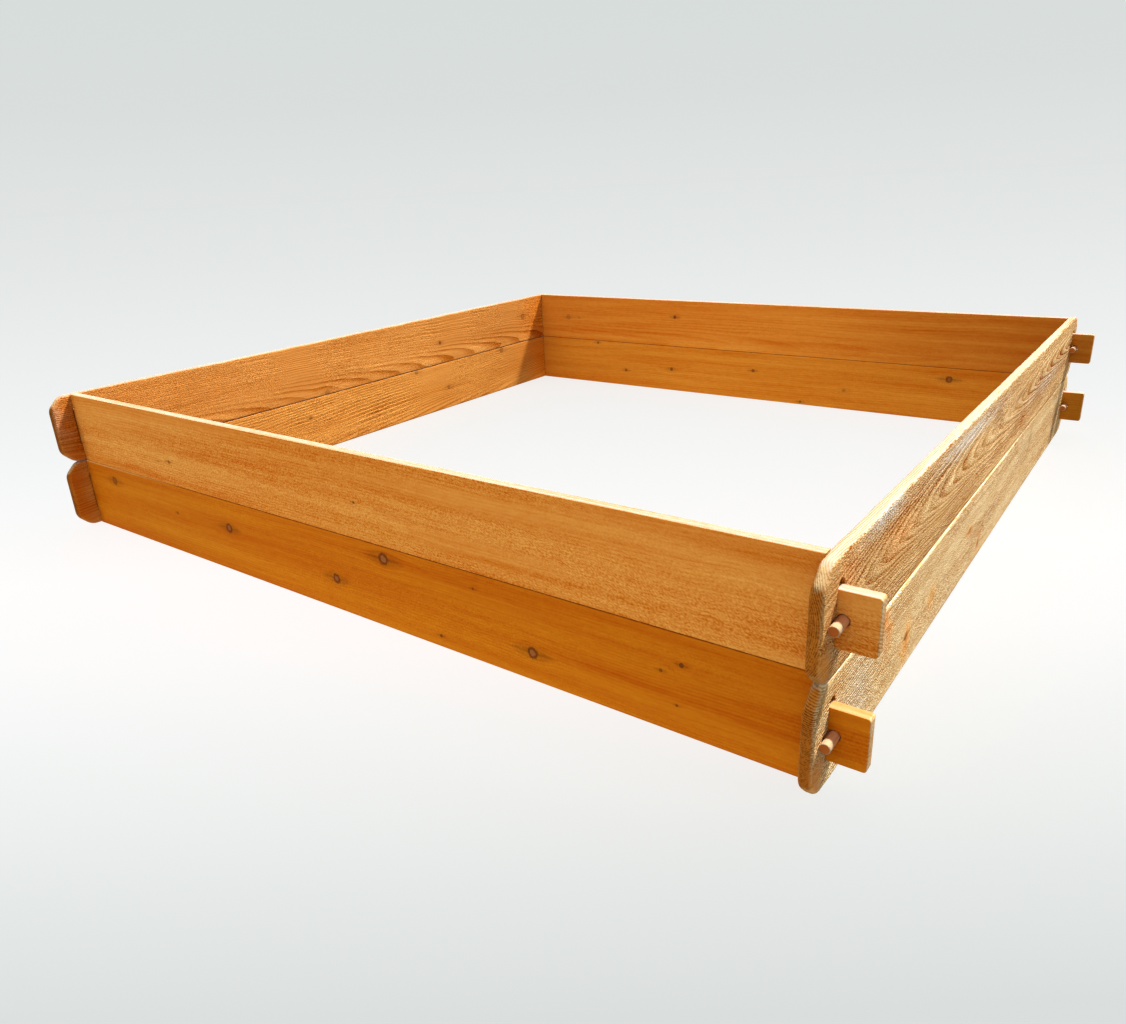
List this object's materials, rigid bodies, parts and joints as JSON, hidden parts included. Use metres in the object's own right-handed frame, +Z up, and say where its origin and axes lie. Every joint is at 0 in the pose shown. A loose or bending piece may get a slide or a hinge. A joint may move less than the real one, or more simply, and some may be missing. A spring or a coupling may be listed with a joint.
{
  "type": "stacked raised garden bed",
  "caption": "Square two-tier raised garden bed of cedar boards, through-tenoned at the corners and locked with round wooden pegs.",
  "frame": {"origin": "centre of the bed on the ground, the middle of the bottom of its bounding box", "axes": "+X to the right along the front and back boards, +Y to the back along the side boards, +Z up"},
  "size_m": [1.693, 1.678, 0.2794],
  "materials": {
    "planed_cedar": "smooth planed western red cedar, unfinished, golden to orange brown with small tight knots",
    "rough_sawn_cedar": "rough-sawn western red cedar, unfinished, raised fuzzy grain, lighter and greyer on the outer faces",
    "peg_wood": "smooth pale turned dowel, unfinished"
  },
  "bodies": {
    "lower_tier": {"lower_front_board": "planed_cedar", "lower_back_board": "planed_cedar", "lower_left_board": "rough_sawn_cedar", "lower_right_board": "rough_sawn_cedar"},
    "upper_tier": {"upper_front_board": "planed_cedar", "upper_back_board": "planed_cedar", "upper_left_board": "rough_sawn_cedar", "upper_right_board": "rough_sawn_cedar"},
    "lower_front_left_peg": {"lower_front_left_peg": "peg_wood"},
    "lower_front_right_peg": {"lower_front_right_peg": "peg_wood"},
    "lower_back_left_peg": {"lower_back_left_peg": "peg_wood"},
    "lower_back_right_peg": {"lower_back_right_peg": "peg_wood"},
    "upper_front_left_peg": {"upper_front_left_peg": "peg_wood"},
    "upper_front_right_peg": {"upper_front_right_peg": "peg_wood"},
    "upper_back_left_peg": {"upper_back_left_peg": "peg_wood"},
    "upper_back_right_peg": {"upper_back_right_peg": "peg_wood"}
  },
  "joints": [
    {"name": "upper_tier_lift", "type": "slide", "parent": "lower_tier", "child": "upper_tier", "axis": [0, 0, 1], "range_m": [0, 0.2]},
    {"name": "lower_front_left_peg_pull", "type": "slide", "parent": "lower_tier", "child": "lower_front_left_peg", "axis": [0, -1, 0], "range_m": [0, 0.05]},
    {"name": "lower_front_right_peg_pull", "type": "slide", "parent": "lower_tier", "child": "lower_front_right_peg", "axis": [0, -1, 0], "range_m": [0, 0.05]},
    {"name": "lower_back_left_peg_pull", "type": "slide", "parent": "lower_tier", "child": "lower_back_left_peg", "axis": [0, 1, 0], "range_m": [0, 0.05]},
    {"name": "lower_back_right_peg_pull", "type": "slide", "parent": "lower_tier", "child": "lower_back_right_peg", "axis": [0, 1, 0], "range_m": [0, 0.05]},
    {"name": "upper_front_left_peg_pull", "type": "slide", "parent": "upper_tier", "child": "upper_front_left_peg", "axis": [0, -1, 0], "range_m": [0, 0.05]},
    {"name": "upper_front_right_peg_pull", "type": "slide", "parent": "upper_tier", "child": "upper_front_right_peg", "axis": [0, -1, 0], "range_m": [0, 0.05]},
    {"name": "upper_back_left_peg_pull", "type": "slide", "parent": "upper_tier", "child": "upper_back_left_peg", "axis": [0, 1, 0], "range_m": [0, 0.05]},
    {"name": "upper_back_right_peg_pull", "type": "slide", "parent": "upper_tier", "child": "upper_back_right_peg", "axis": [0, 1, 0], "range_m": [0, 0.05]}
  ]
}
